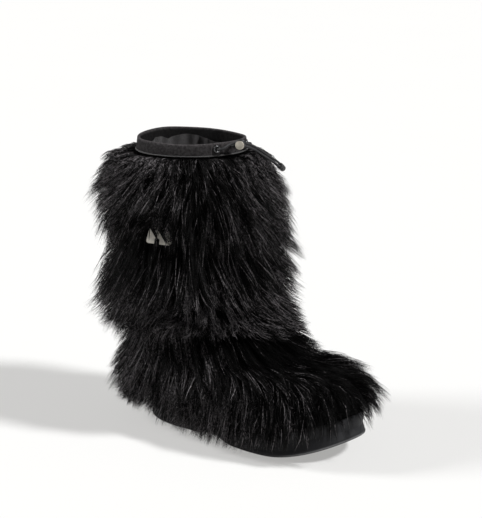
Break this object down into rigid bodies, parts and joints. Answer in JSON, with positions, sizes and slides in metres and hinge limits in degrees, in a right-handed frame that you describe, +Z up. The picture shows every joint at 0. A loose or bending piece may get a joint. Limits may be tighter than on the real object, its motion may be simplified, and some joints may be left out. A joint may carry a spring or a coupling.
{
  "type": "tall fur boot",
  "caption": "Tall winter boot for the right foot, covered in long tiered fur, with a lugged rubber sole and a cloth collar drawn in by a cord and toggle.",
  "frame": {"origin": "on the floor under the middle of the heel, on the sole's flat heel lug", "axes": "+X towards the toe, +Y towards the wearer's left, which is the inner side, +Z up"},
  "size_m": [0.3475, 0.2086, 0.3172],
  "materials": {
    "black_rubber": "matte moulded",
    "insole_felt": "felted",
    "black_cloth": "plain weave",
    "black_fur": "long glossy pile",
    "grey_piping": "satin",
    "bright_steel": "polished",
    "pale_metal": "satin",
    "black_cord": "braided",
    "black_plastic": "moulded"
  },
  "bodies": {
    "root": {"outsole": "black_rubber", "rand": "black_rubber", "insole": "insole_felt", "upper": "black_cloth", "collar_band": "black_cloth", "fur_top": "black_fur", "fur_middle": "black_fur", "fur_foot": "black_fur", "collar_piping": "grey_piping", "eyelet_lateral": "bright_steel", "eyelet_medial": "bright_steel", "side_plate": "pale_metal", "toggle_cap": "pale_metal", "toggle_barrel": "black_plastic", "cord_end": "black_plastic", "drawcord_lateral": "black_cord", "drawcord_medial": "black_cord"}
  },
  "joints": []
}
